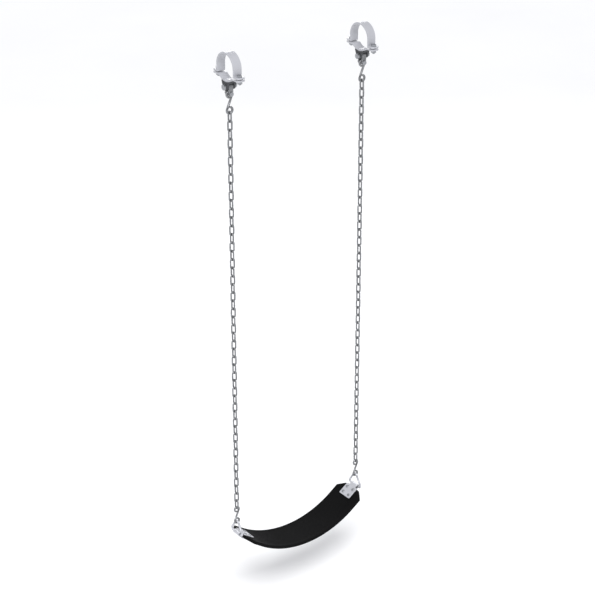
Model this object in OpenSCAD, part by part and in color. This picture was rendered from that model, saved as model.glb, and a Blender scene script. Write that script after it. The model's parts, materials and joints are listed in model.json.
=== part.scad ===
// Belt swing hung from a round beam by two chains and two clamp hangers.
// Millimetres. The origin is on the beam axis, midway between the hangers.
// +X runs along the beam, +Y runs to the back, +Z is up.

/* [Beam and hangers] */
// Outer radius of the round beam
beam_r = 44.45; // [43:0.05:45.5]
// Distance between the two hangers along the beam
spacing = 560; // [520:10:600]
// Width of the clamp bands along the beam
band_w = 32; // [30:1:40]
// Thickness of the clamp bands
band_t = 6; // [5:0.5:7]
// Depth of the swing pivot below the beam axis
pivot_drop = 68; // [68:1:74]
// Distance from the swing pivot down to the hook pin
pin_drop = 25; // [25:1:32]

/* [Chains] */
// Height of the ring bars below the beam axis
bar_drop = 1805; // [1750:1:1900]
// Number of links in each chain, an odd number
link_count = 49; // [47:2:51]
// Diameter of the chain wire
link_wire = 5.7; // [5:0.1:6.5]
// Inside width of a chain link
link_gap_w = 10; // [9:0.1:11]

/* [Seat] */
// Width of the belt from front to back
belt_w = 140; // [130:1:160]
// Thickness of the belt
belt_t = 12; // [11:0.5:13]
// Length of each straight belt end, measured from the ring bar
belt_end_l = 82; // [80:1:95]
// Width of the steel end plates
plate_w = 60; // [54:1:66]
// Thickness of the steel end plates
plate_t = 3; // [2.5:0.5:3.5]

/* [Hidden] */
$fn = 48;
eps = 0.01;
// Air left between parts that move against each other, and between seated parts
air = 0.3;
seat_air = 0.05;
// Straight wire is thinner than its bends by this radius, and runs this far into them
step = 0.05;
bury = 0.5;
// The straight belt ends are thinner than the arc by this much on each face
skin = 0.02;

// Clamp: the two halves meet at ears below the beam axis
band_r = beam_r + band_t;
split_z = -27;
split_gap = 3;
ear_y0 = 30;
ear_y1 = 73;
ear_corner = 9;
bolt_y = 61;
bolt_r = 5;
bolt_hole_r = 5.05;
hex_r = 9.3;
hex_h = 6.4;
nut_h = 8;
thread_tail = 4;

// Yoke under the clamp: two lugs with a slot between them for the swing pivot
lug_x0 = 9;
lug_t = 9;
lug_r = 12;
lug_top = 22;
lug_x1 = lug_x0 + lug_t;
pivot_z = -pivot_drop;
pivot_r = 6;
pivot_hole_r = 6.05;
bush_r = 8;
barrel_r = 11;
slot_z = pivot_z + barrel_r + 1;
barrel_l = 2 * lug_x0 - 2 * air;
pivot_hex_r = 10.5;
pivot_hex_h = 7;

// Clevis under the pivot
pin_z = pivot_z - pin_drop;
pin_r = 4;
pin_hole_r = 4.05;
pin_hex_r = 7.5;
cheek_y0 = 6;
cheek_t = 5;
cheek_y1 = cheek_y0 + cheek_t;
cheek_r = 9;
neck_x = 8.5;

// Hooks: wire radius and centreline radius of the loops
hook_a_r = 4;
hook_a_loop = 11;
hook_a_span = 56;
hook_b_r = 3.5;
hook_b_loop = 9.5;
hook_b_span = 49;
hook_sweep = 278;

// Ring of bent wire with a straight bar below
ring_r = 4;
ring_h = 51;
ring_half_w = 32;
ring_corner = 8;
ring_apex = 11;

// Heights from the hook pin down to the ring bar
bar_z = -bar_drop;
hook_a_z = pin_z + pin_r + air - (hook_a_loop - hook_a_r);
chain_top = hook_a_z - hook_a_span - (hook_a_loop - hook_a_r) + air;
ring_inner_top = bar_z + ring_h - ring_r;
hook_b_z = ring_inner_top - air + (hook_b_loop - hook_b_r) + hook_b_span;
chain_bottom = hook_b_z + (hook_b_loop - hook_b_r) - air;
link_r = link_wire / 2;
pitch = (chain_top - chain_bottom - air) / link_count;
link_inner = pitch + air;
link_bend = link_gap_w / 2 + link_r;
link_side = link_inner - link_gap_w;

// Seat: two straight ends joined by an arc; the belt lies midway between top and bottom
half_span = spacing / 2;
belt_slope = 35;
knuckle_in = ring_r + 0.4;
knuckle_out = knuckle_in + plate_t;
knuckle_w = 34;
leg_x0 = 11;
leg_l = 50;
leg_y0 = belt_t / 2 + seat_air;
leg_y1 = leg_y0 + plate_t;
belt_x0 = 14;
taper_x1 = 40;
tip_w = 76;
arc_x = half_span - belt_end_l * cos(belt_slope);
arc_r = arc_x / sin(belt_slope);
arc_z = bar_z - belt_end_l * sin(belt_slope) + arc_r * cos(belt_slope);
layer_z = 0.5;
insert_t = 1;
insert_w = 112;
insert_over = 8;
rivet_xs = [24, 49];
rivet_y = 17;
rivet_r = 3;
rivet_head_r = 6.5;
rivet_head_h = 2.6;

// ---- helpers ----

module at_side(s) {
  translate([s * half_span, 0, 0]) children();
}

// Cylinder along X, centred on x
module rod_x(r, l) {
  rotate([0, 90, 0]) cylinder(r = r, h = l, center = true);
}

// Cylinder along Y, starting at y
module rod_y(r, y, l) {
  translate([0, y, 0]) rotate([-90, 0, 0]) cylinder(r = r, h = l);
}

// Wire arc in the XZ plane about the origin, from angle a0 through sweep
module wire_arc(loop_r, wire_r, a0, sweep) {
  rotate([90, 0, 0])
    rotate([0, 0, a0])
      rotate_extrude(angle = sweep)
        translate([loop_r, 0]) circle(r = wire_r);
}

// Straight wire in the XZ plane between two points, with its ends buried in the bends it joins
module wire_line(p, q, wire_r) {
  d = q - p;
  translate([p[0], 0, p[1]])
    rotate([0, atan2(d[0], d[1]), 0])
      translate([0, 0, -bury]) cylinder(r = wire_r - step, h = norm(d) + 2 * bury);
}

module wire_tip(loop_r, wire_r, a) {
  translate([loop_r * cos(a), 0, loop_r * sin(a)]) sphere(r = wire_r - step);
}

// Hook of two opposed loops joined by a slanting shank; the upper loop is centred on the origin
module s_hook(loop_r, wire_r, span) {
  lean = asin(2 * loop_r / span);
  reach = sqrt(span * span / 4 - loop_r * loop_r);
  top = [reach * sin(lean), reach * cos(lean)];
  translate([0, 0, -span / 2]) {
    wire_line(-top, top, wire_r);
    for (turn = [0, 180])
      rotate([0, turn, 0]) translate([0, 0, span / 2]) {
        wire_arc(loop_r, wire_r, -lean, hook_sweep);
        wire_tip(loop_r, wire_r, hook_sweep - lean);
      }
  }
}

// ---- clamp ----

module band_2d() {
  difference() {
    circle(r = band_r, $fn = 96);
    circle(r = beam_r, $fn = 96);
  }
}

module across_x(w) {
  translate([-w / 2, 0, 0]) rotate([90, 0, 90]) linear_extrude(w) children();
}

// Ear plate lying flat, from y0 outwards, with rounded outer corners and a bolt hole
module ear(y0, z, t) {
  translate([0, 0, z]) difference() {
    linear_extrude(t) union() {
      translate([-band_w / 2, y0]) square([band_w, ear_y1 - ear_corner - y0]);
      translate([-band_w / 2 + ear_corner, y0]) square([band_w - 2 * ear_corner, ear_y1 - y0]);
      for (x = [-1, 1])
        translate([x * (band_w / 2 - ear_corner), ear_y1 - ear_corner]) circle(r = ear_corner);
    }
    translate([0, bolt_y, -1]) cylinder(r = bolt_hole_r, h = t + 2);
  }
}

module upper_strap() {
  across_x(band_w) {
    intersection() {
      band_2d();
      translate([-band_r, 0]) square([2 * band_r, band_r]);
    }
    for (y = [-band_r, beam_r])
      translate([y, split_z]) square([band_t, -split_z]);
  }
  for (m = [0, 1])
    mirror([0, m, 0]) ear(beam_r + band_t / 2, split_z, band_t);
}

module lower_saddle() {
  top_z = split_z - split_gap;
  difference() {
    union() {
      across_x(band_w) intersection() {
        band_2d();
        translate([-band_r, -band_r]) square([2 * band_r, band_r + top_z]);
      }
      for (m = [0, 1])
        mirror([0, m, 0]) ear(ear_y0, top_z - band_t, band_t);
    }
    rod_x(beam_r, 2 * band_w, $fn = 96);
  }
}

// Cast block welded under the saddle, slotted from below
module yoke() {
  difference() {
    across_x(2 * lug_x1) union() {
      translate([0, pivot_z]) circle(r = lug_r);
      polygon([
        [0.2 - lug_r, pivot_z], [lug_r - 0.2, pivot_z],
        [lug_top, 4 - beam_r], [-lug_top, 4 - beam_r]
      ]);
    }
    rod_x(band_r + seat_air, 4 * band_w, $fn = 96);
    translate([-lug_x0, -band_r, slot_z - band_r]) cube([2 * lug_x0, 2 * band_r, band_r]);
    translate([0, 0, pivot_z]) rod_x(pivot_hole_r, 4 * lug_x1);
  }
}

module clamp_bolts() {
  head_z = split_z + band_t + seat_air;
  grip = 2 * band_t + split_gap + nut_h + thread_tail;
  for (y = [-bolt_y, bolt_y])
    translate([0, y, head_z]) {
      cylinder(r = hex_r, h = hex_h, $fn = 6);
      translate([0, 0, -grip]) cylinder(r = bolt_r, h = grip + eps);
    }
}

module clamp_nuts() {
  under_z = split_z - split_gap - band_t - seat_air;
  for (y = [-bolt_y, bolt_y])
    translate([0, y, under_z - nut_h]) difference() {
      cylinder(r = hex_r, h = nut_h, $fn = 6);
      translate([0, 0, -1]) cylinder(r = bolt_hole_r, h = nut_h + 2);
    }
}

// ---- pivot and clevis ----

module pivot_bolt() {
  shank = 2 * lug_x1 + 2 * pivot_hex_h + thread_tail;
  translate([-lug_x1 - seat_air - pivot_hex_h, 0, pivot_z]) rotate([0, 90, 0]) {
    cylinder(r = pivot_r, h = shank);
    cylinder(r = pivot_hex_r, h = pivot_hex_h, $fn = 6);
  }
}

module pivot_nut() {
  translate([lug_x1 + seat_air, 0, pivot_z]) rotate([0, 90, 0]) difference() {
    cylinder(r = pivot_hex_r, h = pivot_hex_h, $fn = 6);
    translate([0, 0, -1]) cylinder(r = pivot_hole_r, h = pivot_hex_h + 2);
  }
}

module pivot_bush() {
  translate([0, 0, pivot_z]) difference() {
    rod_x(bush_r, 2 * lug_x0 - 2 * seat_air);
    rod_x(pivot_hole_r, 3 * lug_x0);
  }
}

module clevis() {
  difference() {
    union() {
      translate([0, 0, pivot_z]) rod_x(barrel_r, barrel_l);
      for (y = [-cheek_y0 - cheek_t, cheek_y0]) {
        translate([-neck_x, y, pin_z]) cube([2 * neck_x, cheek_t, pin_drop]);
        translate([0, 0, pin_z]) rod_y(cheek_r, y, cheek_t);
      }
    }
    translate([0, 0, pivot_z]) rod_x(bush_r + seat_air, 2 * barrel_l);
    translate([0, 0, pin_z]) rod_y(pin_hole_r, -30, 60);
  }
}

module clevis_pin() {
  head_h = 4;
  tail = 9;
  translate([0, 0, pin_z]) {
    rod_y(pin_r, -cheek_y1 - seat_air, 2 * cheek_y1 + tail);
    rod_y(pin_hex_r, -cheek_y1 - seat_air - head_h, head_h);
  }
}

module clevis_nut() {
  translate([0, cheek_y1 + seat_air, pin_z]) rotate([-90, 0, 0]) difference() {
    cylinder(r = pin_hex_r, h = hex_h, $fn = 6);
    translate([0, 0, -1]) cylinder(r = pin_hole_r, h = hex_h + 2);
  }
}

// ---- hooks, chain and ring ----

module upper_hook() {
  translate([0, 0, hook_a_z]) s_hook(hook_a_loop, hook_a_r, hook_a_span);
}

module lower_hook() {
  translate([0, 0, hook_b_z]) s_hook(hook_b_loop, hook_b_r, hook_b_span);
}

// Link standing in the XZ plane, centred on the origin
module link() {
  for (turn = [0, 180])
    rotate([0, turn, 0]) {
      translate([0, 0, link_side / 2]) wire_arc(link_bend, link_r, 0, 180);
      translate([link_bend, 0, -link_side / 2]) cylinder(r = link_r, h = link_side);
    }
}

module chain() {
  for (i = [0 : link_count - 1])
    translate([0, 0, chain_top - link_inner / 2 - i * pitch])
      rotate([0, 0, i % 2 == 0 ? 90 : 0]) link();
}

module ring() {
  corner = [ring_half_w - ring_corner, ring_corner];
  apex = [0, ring_h - ring_apex];
  d = apex - corner;
  tilt = atan2(d[1], d[0]) - acos((ring_corner - ring_apex) / norm(d));
  out = [cos(tilt), sin(tilt)];
  translate([0, 0, bar_z]) rotate([0, 0, 90]) {
    wire_line([-corner[0], 0], [corner[0], 0], ring_r);
    translate([0, 0, apex[1]]) wire_arc(ring_apex, ring_r, tilt, 180 - 2 * tilt);
    for (m = [0, 1])
      mirror([m, 0, 0]) {
        translate([corner[0], 0, corner[1]]) wire_arc(ring_corner, ring_r, -90, tilt + 90);
        wire_line(corner + ring_corner * out, apex + ring_apex * out, ring_r);
      }
  }
}

// ---- seat ----

// Frame of a straight belt end: x runs down the belt from the ring bar, z is its upper normal
module belt_end_frame(s) {
  mirror([s > 0 ? 0 : 1, 0, 0])
    translate([half_span, 0, bar_z]) rotate([0, 180 - belt_slope, 0]) mirror([0, 0, 1]) children();
}

// Arc part of the belt between two depths measured up from its middle
module belt_arc(z0, z1, w) {
  reach = arc_r * 2;
  translate([0, w / 2, arc_z]) rotate([90, 0, 0]) linear_extrude(w) intersection() {
    difference() {
      circle(r = arc_r - z0, $fn = 240);
      circle(r = arc_r - z1, $fn = 240);
    }
    polygon([
      [0, 0],
      [-reach * sin(belt_slope), -reach * cos(belt_slope)],
      [0, -2 * reach],
      [reach * sin(belt_slope), -reach * cos(belt_slope)]
    ]);
  }
}

// Straight part of the belt, tapering to the end plate and buried a little in the arc
module belt_end(z0, z1) {
  x1 = belt_end_l + bury;
  translate([0, 0, z0 + skin]) linear_extrude(z1 - z0 - 2 * skin) polygon([
    [belt_x0, -tip_w / 2], [taper_x1, -belt_w / 2], [x1, -belt_w / 2],
    [x1, belt_w / 2], [taper_x1, belt_w / 2], [belt_x0, tip_w / 2]
  ]);
}

module rivet_spots() {
  for (x = rivet_xs, y = [-rivet_y, rivet_y])
    translate([x, y, 0]) children();
}

module belt_layer(z0, z1) {
  difference() {
    union() {
      belt_arc(z0, z1, belt_w);
      for (s = [-1, 1])
        belt_end_frame(s) belt_end(z0, z1);
    }
    for (s = [-1, 1])
      belt_end_frame(s) rivet_spots()
        translate([0, 0, -belt_t]) cylinder(r = rivet_r + seat_air, h = 2 * belt_t);
  }
}

module belt_strip(z0, z1, w, over) {
  belt_arc(z0, z1, w);
  for (s = [-1, 1])
    belt_end_frame(s) translate([belt_end_l - over, -w / 2, z0 + skin])
      cube([over + bury, w, z1 - z0 - 2 * skin]);
}

module belt_top() {
  color("dimgray") belt_layer(layer_z, belt_t / 2);
}

module belt_bottom() {
  pocket_z = layer_z - insert_t - 3 * seat_air;
  color("dimgray") difference() {
    belt_layer(-belt_t / 2, layer_z - seat_air);
    belt_strip(pocket_z, layer_z + 1, insert_w + 2 * air, insert_over + air);
  }
}

module belt_insert() {
  color("silver")
    belt_strip(layer_z - insert_t - 2 * seat_air, layer_z - 2 * seat_air, insert_w, insert_over);
}

module leg_2d() {
  polygon([
    [0, knuckle_in - 0.2], [0, knuckle_out], [leg_x0 - 1, leg_y1],
    [leg_x0 + 2, leg_y1], [leg_x0 + 2, leg_y0], [leg_x0 - 0.6, leg_y0]
  ]);
}

module end_plate(s) {
  belt_end_frame(s) difference() {
    union() {
      translate([0, knuckle_w / 2, 0]) rotate([90, 0, 0]) linear_extrude(knuckle_w)
        difference() {
          union() {
            circle(r = knuckle_out);
            leg_2d();
            mirror([0, 1]) leg_2d();
          }
          circle(r = knuckle_in);
          translate([0, 0.2 - knuckle_in]) square([leg_x0, 2 * knuckle_in - 0.4]);
        }
      for (z = [leg_y0, -leg_y1])
        translate([leg_x0, -plate_w / 2, z]) cube([leg_l, plate_w, plate_t]);
    }
    rivet_spots() translate([0, 0, -belt_t]) cylinder(r = rivet_r + seat_air, h = 2 * belt_t);
  }
}

// Dome on the XY plane, drawn as a revolved stack of slopes
module rivet_head() {
  rotate_extrude() polygon([
    [0, 0], [rivet_head_r, 0], [rivet_head_r, 0.5 * rivet_head_h],
    [0.7 * rivet_head_r, 0.9 * rivet_head_h], [0.35 * rivet_head_r, rivet_head_h],
    [0, rivet_head_h]
  ]);
}

module rivets(s) {
  head_z = leg_y1 + seat_air;
  belt_end_frame(s) rivet_spots() {
    translate([0, 0, -head_z]) cylinder(r = rivet_r, h = 2 * head_z);
    for (m = [0, 1])
      mirror([0, 0, m]) translate([0, 0, head_z - eps]) rivet_head();
  }
}

// ---- nodes ----

module left_upper_strap() {
  color("lightgray") at_side(-1) upper_strap();
}

module left_lower_saddle() {
  color("lightgray") at_side(-1) lower_saddle();
}

module left_yoke() {
  color("dimgray") at_side(-1) yoke();
}

module left_clamp_bolts() {
  color("silver") at_side(-1) clamp_bolts();
}

module left_clamp_nuts() {
  color("silver") at_side(-1) clamp_nuts();
}

module left_pivot_bolt() {
  color("silver") at_side(-1) pivot_bolt();
}

module left_pivot_nut() {
  color("silver") at_side(-1) pivot_nut();
}

module left_pivot_bush() {
  color("goldenrod") at_side(-1) pivot_bush();
}

module left_clevis() {
  color("silver") at_side(-1) clevis();
}

module left_clevis_pin() {
  color("silver") at_side(-1) clevis_pin();
}

module left_clevis_nut() {
  color("silver") at_side(-1) clevis_nut();
}

module left_upper_hook() {
  color("lightsteelblue") at_side(-1) upper_hook();
}

module left_chain() {
  color("lightslategray") at_side(-1) chain();
}

module left_lower_hook() {
  color("lightsteelblue") at_side(-1) lower_hook();
}

module left_ring() {
  color("gainsboro") at_side(-1) ring();
}

module left_end_plate() {
  color("gainsboro") end_plate(-1);
}

module left_rivets() {
  color("silver") rivets(-1);
}

module right_upper_strap() {
  color("lightgray") at_side(1) upper_strap();
}

module right_lower_saddle() {
  color("lightgray") at_side(1) lower_saddle();
}

module right_yoke() {
  color("dimgray") at_side(1) yoke();
}

module right_clamp_bolts() {
  color("silver") at_side(1) clamp_bolts();
}

module right_clamp_nuts() {
  color("silver") at_side(1) clamp_nuts();
}

module right_pivot_bolt() {
  color("silver") at_side(1) pivot_bolt();
}

module right_pivot_nut() {
  color("silver") at_side(1) pivot_nut();
}

module right_pivot_bush() {
  color("goldenrod") at_side(1) pivot_bush();
}

module right_clevis() {
  color("silver") at_side(1) clevis();
}

module right_clevis_pin() {
  color("silver") at_side(1) clevis_pin();
}

module right_clevis_nut() {
  color("silver") at_side(1) clevis_nut();
}

module right_upper_hook() {
  color("lightsteelblue") at_side(1) upper_hook();
}

module right_chain() {
  color("lightslategray") at_side(1) chain();
}

module right_lower_hook() {
  color("lightsteelblue") at_side(1) lower_hook();
}

module right_ring() {
  color("gainsboro") at_side(1) ring();
}

module right_end_plate() {
  color("gainsboro") end_plate(1);
}

module right_rivets() {
  color("silver") rivets(1);
}

belt_top();
belt_bottom();
belt_insert();
left_upper_strap();
left_lower_saddle();
left_yoke();
left_clamp_bolts();
left_clamp_nuts();
left_pivot_bolt();
left_pivot_nut();
left_pivot_bush();
left_clevis();
left_clevis_pin();
left_clevis_nut();
left_upper_hook();
left_chain();
left_lower_hook();
left_ring();
left_end_plate();
left_rivets();
right_upper_strap();
right_lower_saddle();
right_yoke();
right_clamp_bolts();
right_clamp_nuts();
right_pivot_bolt();
right_pivot_nut();
right_pivot_bush();
right_clevis();
right_clevis_pin();
right_clevis_nut();
right_upper_hook();
right_chain();
right_lower_hook();
right_ring();
right_end_plate();
right_rivets();
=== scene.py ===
"""Looks of a belt swing: rubber belt, folded steel end plates, link chains and beam clamps."""
import json
import math

import bmesh
import bpy
from mathutils import Matrix, Vector


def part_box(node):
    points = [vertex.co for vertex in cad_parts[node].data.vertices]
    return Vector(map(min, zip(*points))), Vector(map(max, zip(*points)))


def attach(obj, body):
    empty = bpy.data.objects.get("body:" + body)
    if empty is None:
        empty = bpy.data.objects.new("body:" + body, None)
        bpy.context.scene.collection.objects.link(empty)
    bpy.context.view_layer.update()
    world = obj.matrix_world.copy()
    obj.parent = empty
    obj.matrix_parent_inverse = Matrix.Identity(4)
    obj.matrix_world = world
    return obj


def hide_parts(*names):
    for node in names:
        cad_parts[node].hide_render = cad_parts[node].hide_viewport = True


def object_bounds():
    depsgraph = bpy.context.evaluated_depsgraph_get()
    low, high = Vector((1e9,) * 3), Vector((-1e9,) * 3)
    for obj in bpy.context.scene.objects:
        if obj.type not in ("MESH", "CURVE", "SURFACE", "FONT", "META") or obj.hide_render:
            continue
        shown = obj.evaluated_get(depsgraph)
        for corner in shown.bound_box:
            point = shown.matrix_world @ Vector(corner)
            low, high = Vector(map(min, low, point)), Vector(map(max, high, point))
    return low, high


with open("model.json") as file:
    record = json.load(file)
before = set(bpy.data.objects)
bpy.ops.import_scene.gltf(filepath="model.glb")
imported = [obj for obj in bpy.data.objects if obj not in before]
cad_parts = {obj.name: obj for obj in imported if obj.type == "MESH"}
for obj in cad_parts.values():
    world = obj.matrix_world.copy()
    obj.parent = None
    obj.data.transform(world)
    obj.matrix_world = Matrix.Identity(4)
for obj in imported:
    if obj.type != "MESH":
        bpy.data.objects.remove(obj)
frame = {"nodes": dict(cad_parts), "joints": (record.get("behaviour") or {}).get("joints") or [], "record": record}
cad_lo, cad_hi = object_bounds()
nodes = frame["nodes"]

# ---- camera, at the viewing angle that the photograph has on its middle swing ----
CAMERA_BACK = Vector((-3.331, -4.446, 1.741))
AIM_LIFT = 0.02
AIM = Vector((0.0, 0.0, (cad_lo.z + cad_hi.z) / 2 + AIM_LIFT))
LENS_MM = 104.0

cam = bpy.data.objects.new("camera", bpy.data.cameras.new("camera"))
bpy.context.scene.collection.objects.link(cam)
bpy.context.scene.camera = cam
cam.data.sensor_width = 36.0
cam.data.lens = LENS_MM
cam.location = CAMERA_BACK
cam.rotation_mode = "QUATERNION"
cam.rotation_quaternion = (AIM - CAMERA_BACK).to_track_quat("-Z", "Y")
cam.data.clip_end = 60.0


# ---- material kit ----
class Shader:
    """A Principled material built node by node, with all its patterns in object space."""

    def __init__(self, name, roughness, metallic=0.0, **sockets):
        self.mat = bpy.data.materials.new(name)
        self.mat.use_nodes = True
        self.tree = self.mat.node_tree
        self.bsdf = self.tree.nodes["Principled BSDF"]
        self.bsdf.inputs["Metallic"].default_value = metallic
        self.bsdf.inputs["Roughness"].default_value = roughness
        for key, value in sockets.items():
            self.bsdf.inputs[key.replace("_", " ")].default_value = value
        self.place = self.node("ShaderNodeTexCoord").outputs["Object"]

    def node(self, kind, **settings):
        made = self.tree.nodes.new(kind)
        for key, value in settings.items():
            setattr(made, key, value)
        return made

    def link(self, out, into):
        self.tree.links.new(out, into)

    def noise(self, scale, detail=4.0, rough=0.55, stretch=None):
        made = self.node("ShaderNodeTexNoise")
        made.inputs["Scale"].default_value = scale
        made.inputs["Detail"].default_value = detail
        made.inputs["Roughness"].default_value = rough
        source = self.place
        if stretch:
            mapping = self.node("ShaderNodeMapping")
            mapping.inputs["Scale"].default_value = stretch
            self.link(self.place, mapping.inputs["Vector"])
            source = mapping.outputs["Vector"]
        self.link(source, made.inputs["Vector"])
        return made.outputs["Fac"]

    def cells(self, scale):
        made = self.node("ShaderNodeTexVoronoi")
        made.inputs["Scale"].default_value = scale
        self.link(self.place, made.inputs["Vector"])
        return made.outputs["Distance"]

    def ramp(self, fac, stops):
        made = self.node("ShaderNodeValToRGB")
        band = made.color_ramp.elements
        while len(band) < len(stops):
            band.new(0.5)
        for element, (at, value) in zip(band, stops):
            element.position = at
            grey = isinstance(value, float)
            element.color = (value,) * 3 + (1,) if grey else (*value, 1)
        self.link(fac, made.inputs["Fac"])
        return made.outputs["Color"]

    def mix(self, fac, a, b, blend="MIX"):
        made = self.node("ShaderNodeMix", data_type="RGBA", blend_type=blend)
        sockets = [s for s in made.inputs if s.enabled]
        for socket, value in zip(sockets, (fac, a, b)):
            if isinstance(value, (float, tuple)):
                socket.default_value = value if isinstance(value, float) else (*value, 1)
            else:
                self.link(value, socket)
        return next(s for s in made.outputs if s.enabled)

    def edge_wear(self, low, high):
        """0 on flats and 1 on sharp convex edges, from the mesh's pointiness."""
        point = self.node("ShaderNodeNewGeometry").outputs["Pointiness"]
        return self.ramp(point, [(low, 0.0), (high, 1.0)])

    def paint(self, colour=None, rough=None):
        if colour is not None:
            self.link(colour, self.bsdf.inputs["Base Color"])
        if rough is not None:
            self.link(rough, self.bsdf.inputs["Roughness"])

    def bump(self, *layers):
        """Each layer is (height output, strength, depth in metres)."""
        last = None
        for height, strength, depth in layers:
            made = self.node("ShaderNodeBump")
            made.inputs["Strength"].default_value = strength
            made.inputs["Distance"].default_value = depth
            self.link(height, made.inputs["Height"])
            if last:
                self.link(last, made.inputs["Normal"])
            last = made.outputs["Normal"]
        self.link(last, self.bsdf.inputs["Normal"])


def rubber_material(name, base):
    """Black moulded rubber: faint bloom, dust in the low spots and a fine moulded grain."""
    m = Shader(name, 0.75, Specular_IOR_Level=0.09)
    cloud = m.noise(9.0, 5.0)
    fine = m.noise(260.0, 3.0, 0.6)
    dark = tuple(c * 0.72 for c in base)
    light = tuple(c * 1.5 for c in base)
    colour = m.ramp(cloud, [(0.3, dark), (0.55, base), (0.8, light)])
    dust = m.ramp(m.noise(38.0, 6.0, 0.7), [(0.60, 0.0), (0.80, 0.03)])
    m.paint(m.mix(dust, colour, (0.10, 0.098, 0.095)), m.ramp(fine, [(0.3, 0.6), (0.75, 0.8)]))
    pores = m.noise(900.0, 2.0)
    m.bump((m.cells(520.0), 0.30, 0.0004), (fine, 0.35, 0.00025), (pores, 0.25, 0.0001))
    return m.mat


def painted_material(name, base, rough=0.36):
    """Powder-coated steel: slight orange peel, soft grime and rubbed edges."""
    m = Shader(name, rough, Coat_Weight=0.15, Coat_Roughness=0.25)
    cloud = m.noise(14.0, 4.0)
    colour = m.ramp(cloud, [(0.3, tuple(c * 0.93 for c in base)), (0.7, base)])
    grime = m.ramp(m.noise(55.0, 7.0, 0.7), [(0.55, 0.0), (0.85, 0.22)])
    colour = m.mix(grime, colour, tuple(c * 0.55 for c in base))
    worn = m.edge_wear(0.53, 0.62)
    colour = m.mix(worn, colour, tuple(min(1.0, c * 1.18) for c in base))
    m.paint(colour, m.ramp(m.noise(30.0, 5.0), [(0.3, rough - 0.06), (0.75, rough + 0.14)]))
    m.bump((m.noise(420.0, 2.0), 0.12, 0.0002), (m.noise(90.0, 3.0), 0.05, 0.0004))
    return m.mat


def galvanised_material(name, base):
    """Hot-dip zinc: small spangle and matt patches."""
    m = Shader(name, 0.4, metallic=0.85)
    spangle = m.cells(240.0)
    patch = m.noise(60.0, 5.0, 0.65)
    colour = m.ramp(spangle, [(0.1, tuple(c * 0.8 for c in base)), (0.6, base)])
    dull = m.ramp(patch, [(0.42, 0.0), (0.68, 0.65)])
    colour = m.mix(dull, colour, tuple(c * 0.62 for c in base))
    m.paint(colour, m.ramp(patch, [(0.3, 0.28), (0.75, 0.58)]))
    m.bump((m.noise(500.0, 4.0), 0.22, 0.0002), (m.noise(120.0, 2.0), 0.12, 0.0004))
    return m.mat


def bright_material(name, base, rough=0.3):
    """Zinc-plated fastener steel with turning marks and light wear."""
    m = Shader(name, rough, metallic=0.9)
    lathe = m.noise(60.0, 3.0, 0.5, stretch=(1.0, 1.0, 22.0))
    stain = m.noise(80.0, 5.0, 0.7)
    colour = m.ramp(stain, [(0.35, base), (0.75, tuple(c * 0.72 for c in base))])
    m.paint(colour, m.ramp(lathe, [(0.3, rough - 0.08), (0.7, rough + 0.16)]))
    m.bump((lathe, 0.10, 0.0001), (m.noise(700.0, 2.0), 0.08, 0.0001))
    return m.mat


def dark_casting_and_shade_material(name, base):
    """Dark sand-cast iron under thin paint; the very dark base colour is partly the yoke's own colour and partly
    painted shade under the hanger band.
    """
    m = Shader(name, 0.55, metallic=0.35)
    sand = m.noise(520.0, 5.0, 0.7)
    cloud = m.noise(40.0, 4.0)
    colour = m.ramp(cloud, [(0.3, tuple(c * 0.75 for c in base)), (0.75, base)])
    colour = m.mix(m.edge_wear(0.54, 0.64), colour, (0.42, 0.43, 0.45))
    m.paint(colour, m.ramp(sand, [(0.3, 0.45), (0.75, 0.7)]))
    m.bump((sand, 0.4, 0.0003), (cloud, 0.1, 0.0006))
    return m.mat


def plate_material(name, base):
    """Pale plated sheet: rolling grain along the belt, faint scuffs."""
    m = Shader(name, 0.34, metallic=0.35, Coat_Weight=0.1, Coat_Roughness=0.3)
    grain = m.noise(70.0, 4.0, 0.6, stretch=(1.0, 14.0, 1.0))
    scuff = m.ramp(m.noise(130.0, 7.0, 0.75), [(0.56, 0.0), (0.8, 0.3)])
    colour = m.ramp(m.noise(24.0, 4.0), [(0.3, tuple(c * 0.92 for c in base)), (0.7, base)])
    colour = m.mix(scuff, colour, tuple(c * 0.6 for c in base))
    colour = m.mix(m.edge_wear(0.53, 0.6), colour, (0.9, 0.9, 0.92))
    m.paint(colour, m.ramp(grain, [(0.3, 0.26), (0.72, 0.5)]))
    m.bump((grain, 0.12, 0.0001), (m.noise(600.0, 3.0), 0.10, 0.0001))
    return m.mat


MATERIALS = {
    "black_rubber": rubber_material("belt rubber", (0.0024, 0.0024, 0.0026)),
    "grey_paint": painted_material("grey paint", (0.42, 0.425, 0.455)),
    # dark_casting base colour: partly the yoke's own dark colour, partly painted shade under the hanger band
    "dark_casting": dark_casting_and_shade_material("dark casting and painted shade", (0.060, 0.062, 0.068)),
    "zinc_fastener": bright_material("zinc fastener", (0.40, 0.41, 0.43)),
    "bronze_bush": bright_material("bronze bush", (0.42, 0.26, 0.10), 0.34),
    "spring_steel": bright_material("spring steel", (0.30, 0.31, 0.33)),
    "galvanised": galvanised_material("galvanised", (0.27, 0.275, 0.285)),
    "pale_plate": plate_material("pale plate", (0.56, 0.565, 0.60)),
}
for row in frame["record"]["subparts"]:
    mesh = nodes[row["node"]].data
    mesh.materials.clear()
    mesh.materials.append(MATERIALS[row["material_slot"]])


# ---- mesh kit ----
def piece(name, verts, faces, body, material, replaced):
    mesh = bpy.data.meshes.new(name)
    mesh.from_pydata([tuple(v) for v in verts], [], faces)
    built = bmesh.new()
    built.from_mesh(mesh)
    bmesh.ops.recalc_face_normals(built, faces=built.faces)
    built.to_mesh(mesh)
    built.free()
    mesh.polygons.foreach_set("use_smooth", [True] * len(mesh.polygons))
    mesh.materials.append(MATERIALS[material])
    obj = bpy.data.objects.new(name, mesh)
    bpy.context.scene.collection.objects.link(obj)
    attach(obj, body)
    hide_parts(*replaced)
    return obj


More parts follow.
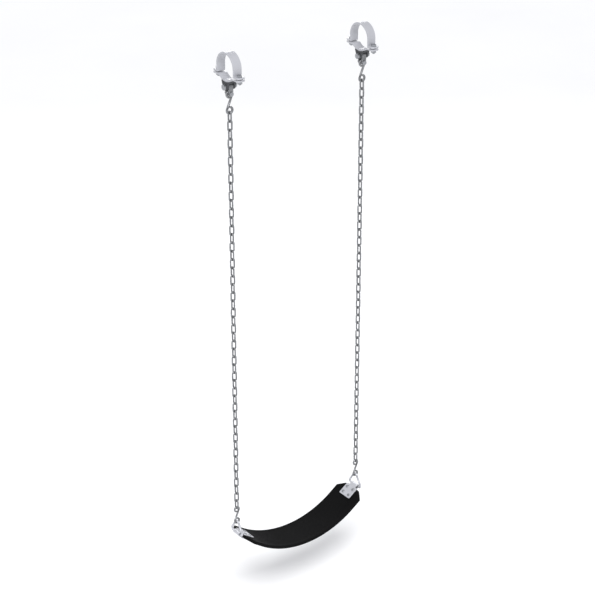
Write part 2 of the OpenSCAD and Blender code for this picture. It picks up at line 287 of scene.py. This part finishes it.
def loft(rings, closed_path=False):
    """Quads between closed rings of equal length, with a fan at each end if the path is open."""
    count, size = len(rings), len(rings[0])
    verts = [v for ring in rings for v in ring]
    faces = []
    for i in range(count if closed_path else count - 1):
        a, b = i * size, (i + 1) % count * size
        for j in range(size):
            k = (j + 1) % size
            faces.append((a + j, a + k, b + k, b + j))
    if not closed_path:
        for at in (0, count - 1):
            middle = sum(rings[at], Vector()) / size
            verts.append(middle)
            hub, start = len(verts) - 1, at * size
            for j in range(size):
                faces.append((start + j, start + (j + 1) % size, hub))
    return verts, faces


def joined(parts):
    verts, faces = [], []
    for some_verts, some_faces in parts:
        base = len(verts)
        verts += some_verts
        faces += [tuple(base + i for i in face) for face in some_faces]
    return verts, faces


def moved(part, matrix):
    return [matrix @ Vector(v) for v in part[0]], part[1]


def wire_ring(centre, outward, across, radius, steps=14):
    turns = (2 * math.pi * j / steps for j in range(steps))
    return [centre + radius * (outward * math.cos(t) + across * math.sin(t)) for t in turns]


# ---- chain links ----
LINK_COUNT = 49
LINK_WIRE = 0.0057
LINK_GAP_W = 0.010
LINK_PLAY = 0.0003
BEND_STEPS = 12
SIDE_STEPS = 9
WELD_SWELL = 0.13
WELD_HALF = 0.0032
LINK_TWIST = math.radians(1.6)
TWIST_STEP = 2.4
TWIST_START = {"left": 0.0, "right": 1.3}


def link_part(pitch, weld):
    """Closed straight link in the XZ plane, with a weld bead in the middle of one side."""
    wire = LINK_WIRE / 2
    bend = LINK_GAP_W / 2 + wire
    half = (pitch + LINK_PLAY - LINK_GAP_W) / 2
    path = []
    for side in (1, -1):
        for i in range(BEND_STEPS):
            a = math.pi * i / BEND_STEPS + (0 if side > 0 else math.pi)
            out = Vector((math.cos(a), 0, math.sin(a)))
            path.append((Vector((0, 0, side * half)) + bend * out, out, wire))
        for i in range(SIDE_STEPS):
            z = side * half * (1 - 2 * i / SIDE_STEPS)
            out = Vector((-side, 0, 0))
            near = math.exp(-((z / WELD_HALF) ** 2)) if side == weld else 0.0
            path.append((Vector((-side * bend, 0, z)), out, wire * (1 + WELD_SWELL * near)))
    rings = [wire_ring(at, out, Vector((0, 1, 0)), r) for at, out, r in path]
    return loft(rings, closed_path=True)


for side in ("left", "right"):
    low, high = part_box(side + "_chain")
    pitch = (high.z - low.z - 2 * LINK_WIRE - LINK_PLAY) / LINK_COUNT
    top = high.z - LINK_WIRE - (pitch + LINK_PLAY) / 2
    middle_x = (low.x + high.x) / 2
    links = []
    for i in range(LINK_COUNT):
        twist = LINK_TWIST * math.sin(TWIST_STEP * i + TWIST_START[side])
        turn = Matrix.Rotation((math.pi / 2 if i % 2 == 0 else 0.0) + twist, 4, "Z")
        spot = Matrix.Translation((middle_x, 0, top - i * pitch)) @ turn
        links.append(moved(link_part(pitch, 1 if (i // 2) % 2 else -1), spot))
    piece(side + "_chain_links", *joined(links), side + "_hanging_chain", "galvanised",
          (side + "_chain",))

# ---- belt ----
BELT_HALF_W = 0.070
BELT_HALF_T = 0.006
TIP_HALF_W = 0.038
TIP_X = 0.014
TAPER_X = 0.040
END_L = 0.082
SLOPE = math.radians(35)
LEG_END = 0.061
RIM_W = 0.011
RIM_H = 0.0012
EDGE_R = 0.0035
RIB_PITCH = 0.0062
RIB_H = 0.00055
RIB_CLEAR = 0.018
BELT_STEP = 0.00155
BELT_FLATS = 22
CORNER_FACETS = 4
RIM_RAMP = 0.002
FIELD_RAMP = 0.004
RIB_RAMP = 0.006
RIB_GAP = 0.010

bar = next(Vector(j["pos_m"]) for j in frame["joints"] if j["name"] == "seat_level")
half_span = abs(bar.x)
arc_radius = (half_span - END_L * math.cos(SLOPE)) / math.sin(SLOPE)
arc_half = arc_radius * SLOPE
half_length = arc_half + END_L - TIP_X
arc_centre_z = bar.z - END_L * math.sin(SLOPE) + arc_radius * math.cos(SLOPE)


def belt_frame(s):
    """Point and upward normal of the belt's middle surface at arc length s from its centre."""
    a = max(-SLOPE, min(SLOPE, s / arc_radius))
    point = Vector((arc_radius * math.sin(a), 0, arc_centre_z - arc_radius * math.cos(a)))
    along = Vector((math.cos(a), 0, math.sin(a)))
    return point + along * (s - a * arc_radius), Vector((-math.sin(a), 0, math.cos(a)))


def belt_half_width(s):
    from_bar = END_L + arc_half - abs(s)
    t = max(0.0, min(1.0, (from_bar - TIP_X) / (TAPER_X - TIP_X)))
    return TIP_HALF_W + (BELT_HALF_W - TIP_HALF_W) * t


def belt_section(s):
    """Cross-section with rounded edges, a raised rim all round and ribs across the field."""
    point, up = belt_frame(s)
    half_w = belt_half_width(s)
    to_tip = half_length - abs(s)
    field = max(0.0, min(1.0, (to_tip - RIM_W) / FIELD_RAMP))
    plate_end = LEG_END - TIP_X + RIB_GAP
    ribbed = max(0.0, min(1.0, (to_tip - plate_end) / RIB_RAMP))
    rib = RIB_H * ribbed * max(0.0, math.cos(2 * math.pi * s / RIB_PITCH)) ** 0.7
    thick = BELT_HALF_T * (1 if to_tip > EDGE_R else math.sqrt(
        max(0.15, 1 - 0.45 * (1 - to_tip / EDGE_R) ** 2)))
    ring = []
    inner = half_w - RIM_W
    for i in range(BELT_FLATS + 1):
        y = -inner + 2 * inner * i / BELT_FLATS
        edge = min(1.0, (inner - abs(y)) / RIM_RAMP)
        inset = RIM_H * field * edge
        on_rib = rib if inner - abs(y) > RIB_CLEAR - RIM_W else 0.0
        ring.append((y, thick - inset + on_rib))
    for corner, sy, sz in ((0, 1, 1), (1, 1, -1)):
        for k in range(CORNER_FACETS + 1):
            a = math.pi / 2 - corner * math.pi / 2 - k * math.pi / 2 / CORNER_FACETS
            ring.append((half_w - EDGE_R + EDGE_R * math.cos(a),
                         sz * (thick - EDGE_R) + EDGE_R * math.sin(a)))
    for i in range(BELT_FLATS + 1):
        y = inner - 2 * inner * i / BELT_FLATS
        edge = min(1.0, (inner - abs(y)) / RIM_RAMP)
        ring.append((y, -thick + RIM_H * 0.5 * field * edge))
    for corner, sz in ((2, -1), (3, 1)):
        for k in range(CORNER_FACETS + 1):
            a = math.pi / 2 - corner * math.pi / 2 - k * math.pi / 2 / CORNER_FACETS
            ring.append((-half_w + EDGE_R + EDGE_R * math.cos(a),
                         sz * (thick - EDGE_R) + EDGE_R * math.sin(a)))
    return [point + up * z + Vector((0, y, 0)) for y, z in ring]


belt_steps = int(2 * half_length / BELT_STEP)
sections = [belt_section(-half_length + 2 * half_length * i / belt_steps)
            for i in range(belt_steps + 1)]
piece("belt_rubber", *loft(sections), "seat", "black_rubber", ("belt_top", "belt_bottom"))


# ---- folded end plates ----
PLATE_HALF_T = 0.0015
PLATE_HALF_W = 0.030
EYE_HALF_W = 0.017
EYE_R = 0.0059
LEG_START = 0.0116
LEG_Z = 0.00755
PLATE_CORNER = 0.005
SHOULDER = 0.0065
PLATE_EDGE = 0.0007
EYE_STEPS = 26
EYE_START = math.radians(84)
EYE_TURN = math.radians(192)
CORNER_STEPS = 8


def plate_path():
    """Half of the folded sheet's centreline as (x, z, half width), from leg end to eye top."""
    path = []
    for i in range(CORNER_STEPS + 1):
        a = math.pi / 2 * i / CORNER_STEPS
        path.append((LEG_END - PLATE_CORNER * (1 - math.cos(a)), LEG_Z,
                     PLATE_HALF_W - PLATE_CORNER * (1 - math.sin(a))))
    path[0] = (LEG_END, LEG_Z, PLATE_HALF_W - PLATE_CORNER)
    flat_end = LEG_START + SHOULDER
    for i in range(1, 11):
        x = LEG_END - PLATE_CORNER + (flat_end - LEG_END + PLATE_CORNER) * i / 10
        path.append((x, LEG_Z, PLATE_HALF_W))
    for i in range(1, CORNER_STEPS + 1):
        a = math.pi / 2 * i / CORNER_STEPS
        path.append((flat_end - SHOULDER * math.sin(a), LEG_Z,
                     PLATE_HALF_W - SHOULDER * (1 - math.cos(a))))
    path.append((LEG_START - 0.0003, LEG_Z - 0.00004, EYE_HALF_W + 0.001))
    path.append((LEG_START - 0.0012, LEG_Z - 0.00015, EYE_HALF_W))
    path.append((0.0056, LEG_Z - 0.0009, EYE_HALF_W))
    return path


def sheet_ring(at, across, normal, half_w):
    ring = []
    for sy, sz, start in ((1, 1, 0), (-1, 1, 90), (-1, -1, 180), (1, -1, 270)):
        for k in range(4):
            a = math.radians(start + 30 * k)
            y = sy * (half_w - PLATE_EDGE) + PLATE_EDGE * math.cos(a)
            z = sz * (PLATE_HALF_T - PLATE_EDGE) + PLATE_EDGE * math.sin(a)
            ring.append(at + across * y + normal * z)
    return ring


def folded_plate(side):
    slope_in = Vector((-side * math.cos(SLOPE), 0, -math.sin(SLOPE)))
    lift = Vector((-side * math.sin(SLOPE), 0, math.cos(SLOPE)))
    origin = Vector((side * half_span, 0, bar.z))
    upper = plate_path()
    eye = []
    for i in range(EYE_STEPS + 1):
        a = EYE_START + EYE_TURN * i / EYE_STEPS
        eye.append((EYE_R * math.cos(a), EYE_R * math.sin(a), EYE_HALF_W))
    path = upper + eye + [(x, -z, w) for x, z, w in reversed(upper)]
    rings = []
    for i, (x, z, half_w) in enumerate(path):
        ax, az, _ = path[max(0, i - 1)]
        bx, bz, _ = path[min(len(path) - 1, i + 1)]
        run = Vector((bx - ax, 0, bz - az)).normalized()
        normal = slope_in * run.z - lift * run.x
        rings.append(sheet_ring(origin + slope_in * x + lift * z, Vector((0, 1, 0)), normal,
                                half_w))
    return loft(rings)


for side, sign in (("left", -1), ("right", 1)):
    plate = piece(side + "_folded_plate", *folded_plate(sign), "seat", "pale_plate",
                  (side + "_end_plate",))
    plate.modifiers.new("flats", "WEIGHTED_NORMAL")


# ---- fasteners ----
FACETS = 48
THREAD_PITCH = 0.0015
THREAD_DEPTH = 0.0006


def turned(profile, steps):
    """Solid of revolution about Z from (radius, height) pairs."""
    rings = []
    for radius, z in profile:
        angles = (2 * math.pi * j / steps for j in range(steps))
        rings.append([Vector((radius * math.cos(a), radius * math.sin(a), z)) for a in angles])
    return loft(rings)


def hexagon(corner_r, height, chamfer_low, hole_r=0.0):
    """Hexagonal head or nut with its corners chamfered at the top, and below if asked."""
    flat_r = corner_r * math.cos(math.pi / 6)
    crown = 0.96 * flat_r

    def rim(a):
        return flat_r / math.cos((a % (math.pi / 3)) - math.pi / 6)

    def ring(radius, z):
        turns = [2 * math.pi * j / FACETS for j in range(FACETS)]
        return [Vector((radius(a) * math.cos(a), radius(a) * math.sin(a), z(a))) for a in turns]

    def drop(a):
        return (rim(a) - crown) * 0.55

    inner = max(hole_r, 0.0005)
    rings = [ring(lambda a: inner, lambda a: 0.0)]
    if chamfer_low:
        rings.append(ring(lambda a: crown, lambda a: 0.0))
        rings.append(ring(rim, drop))
    else:
        rings.append(ring(rim, lambda a: 0.0))
    rings.append(ring(rim, lambda a: height - drop(a)))
    rings.append(ring(lambda a: crown, lambda a: height))
    if hole_r:
        rings.append(ring(lambda a: inner + 0.0007, lambda a: height))
        rings.append(ring(lambda a: inner, lambda a: height - 0.0007))
        return loft(rings, closed_path=True)
    rings.append(ring(lambda a: inner, lambda a: height))
    return loft(rings)


def shank(radius, length, thread_length):
    """Bolt shank down from the origin, threaded over its last part, with a chamfered point."""
    profile = [(radius, 0.0), (radius, thread_length - length)]
    z = thread_length - length
    while z > THREAD_PITCH - length + 0.001:
        profile += [(radius - THREAD_DEPTH, z - THREAD_PITCH / 2), (radius, z - THREAD_PITCH)]
        z -= THREAD_PITCH
    profile += [(radius - 0.0012, -length)]
    return turned(profile, 32)


def flat_edges(obj):
    """Keeps flats flat and round parts smooth on a fastener."""
    obj.data.set_sharp_from_angle(angle=math.radians(28))
    return obj


ALONG_X = Matrix.Rotation(math.pi / 2, 4, "Y")
HEAD_TO_LEFT = Matrix.Rotation(-math.pi / 2, 4, "Y")
ALONG_Y = Matrix.Rotation(-math.pi / 2, 4, "X")
BOLT_Y = 0.061
BOLT_HEAD = (0.0093, 0.0064)
PIN_NUT = (0.0075, 0.0064)
PIN_R = 0.004
BOLT_R = 0.005
NUT_H = 0.008
PIVOT_HEX = (0.0105, 0.007)
PIVOT_R = 0.006
BOLT_THREAD = 0.017
PIVOT_THREAD = 0.012

for side in ("left", "right"):
    body = "beam_clamps"
    low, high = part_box(side + "_clamp_bolts")
    at_x = (low.x + high.x) / 2
    under_head = high.z - BOLT_HEAD[1]
    bolts, nuts = [], []
    nut_low, nut_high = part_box(side + "_clamp_nuts")
    for y in (-BOLT_Y, BOLT_Y):
        spot = Matrix.Translation((at_x, y, under_head))
        bolts.append(moved(hexagon(*BOLT_HEAD, False), spot))
        bolts.append(moved(shank(BOLT_R, under_head - low.z, BOLT_THREAD), spot))
        spot = Matrix.Translation((at_x, y, nut_low.z))
        nuts.append(moved(hexagon(BOLT_HEAD[0], NUT_H, True, BOLT_R), spot))
    flat_edges(piece(side + "_clamp_bolt_pair", *joined(bolts), body, "zinc_fastener",
                     (side + "_clamp_bolts",)))
    flat_edges(piece(side + "_clamp_nut_pair", *joined(nuts), body, "zinc_fastener",
                     (side + "_clamp_nuts",)))

    low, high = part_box(side + "_pivot_bolt")
    mid_z = (low.z + high.z) / 2
    spot = Matrix.Translation((low.x + PIVOT_HEX[1], 0, mid_z)) @ HEAD_TO_LEFT
    parts = [
        moved(hexagon(*PIVOT_HEX, False), spot),
        moved(shank(PIVOT_R, high.x - low.x - PIVOT_HEX[1], PIVOT_THREAD), spot),
    ]
    flat_edges(piece(side + "_pivot_bolt_detail", *joined(parts), body, "zinc_fastener",
                     (side + "_pivot_bolt",)))
    low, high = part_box(side + "_pivot_nut")
    spot = Matrix.Translation((low.x, 0, mid_z)) @ ALONG_X
    flat_edges(piece(side + "_pivot_nut_detail", *moved(hexagon(*PIVOT_HEX, True, PIVOT_R), spot),
                     body, "zinc_fastener", (side + "_pivot_nut",)))
    low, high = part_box(side + "_clevis_nut")
    spot = Matrix.Translation((at_x, low.y, (low.z + high.z) / 2)) @ ALONG_Y
    flat_edges(piece(side + "_clevis_nut_detail", *moved(hexagon(*PIN_NUT, True, PIN_R), spot),
                     side + "_pendulum", "zinc_fastener", (side + "_clevis_nut",)))

# ---- softened edges on the CAD pieces that stay visible ----
WELD_WITHIN = 2e-6
SHARPER_THAN = math.radians(38)
EDGE = {
    "upper_strap": 0.0009, "lower_saddle": 0.0009, "yoke": 0.0008, "clevis": 0.0009,
    "clevis_pin": 0.0006, "rivets": 0.0004, "pivot_bush": 0.0003,
}
for name, node in nodes.items():
    mesh = node.data
    if "custom_normal" in mesh.attributes:
        mesh.attributes.remove(mesh.attributes["custom_normal"])
    mesh.polygons.foreach_set("use_smooth", [True] * len(mesh.polygons))
    weld = node.modifiers.new("weld", "WELD")
    weld.merge_threshold = WELD_WITHIN
    width = EDGE.get(name.split("_", 1)[1])
    if width:
        bevel = node.modifiers.new("edges", "BEVEL")
        bevel.width = width
        bevel.segments = 3
        bevel.limit_method = "ANGLE"
        bevel.angle_limit = SHARPER_THAN
        bevel.use_clamp_overlap = True
        bevel.harden_normals = True
        flats = node.modifiers.new("flats", "WEIGHTED_NORMAL")
        flats.weight = 90

# ---- floor and light ----
GROUND_Z = -2.15
floor_mat = Shader("floor", 0.8)
floor_mat.paint(floor_mat.ramp(floor_mat.noise(0.7, 3.0),
                               [(0.3, (0.93, 0.93, 0.935)), (0.7, (0.96, 0.96, 0.965))]))
bpy.ops.mesh.primitive_plane_add(size=60, location=(0, 0, GROUND_Z))
floor = bpy.context.object
floor.name = "floor"
floor.data.materials.append(floor_mat.mat)

world = bpy.data.worlds.new("studio")
bpy.context.scene.world = world
world.use_nodes = True
backdrop = world.node_tree.nodes["Background"]
backdrop.inputs["Color"].default_value = (0.96, 0.97, 1.0, 1)
backdrop.inputs["Strength"].default_value = 0.62


def aimed(name, light, at, target):
    obj = bpy.data.objects.new(name, light)
    bpy.context.scene.collection.objects.link(obj)
    obj.location = at
    obj.rotation_mode = "QUATERNION"
    obj.rotation_quaternion = (target - Vector(at)).to_track_quat("-Z", "Y")


def area_light(name, at, size, watts):
    light = bpy.data.lights.new(name, "AREA")
    light.shape = "DISK"
    light.size = size
    light.energy = watts
    aimed(name, light, at, AIM)


sun = bpy.data.lights.new("sky panel", "SUN")
sun.energy = 1.7
sun.angle = math.radians(24)
aimed("sky panel", sun, (-1.6, -2.6, 4.5), Vector())
area_light("key", (-2.6, -2.6, 1.6), 1.4, 55)
area_light("rim", (2.2, 3.4, 1.2), 1.6, 45)

view = bpy.context.scene.view_settings
view.view_transform = "Standard"
view.exposure = 0.0
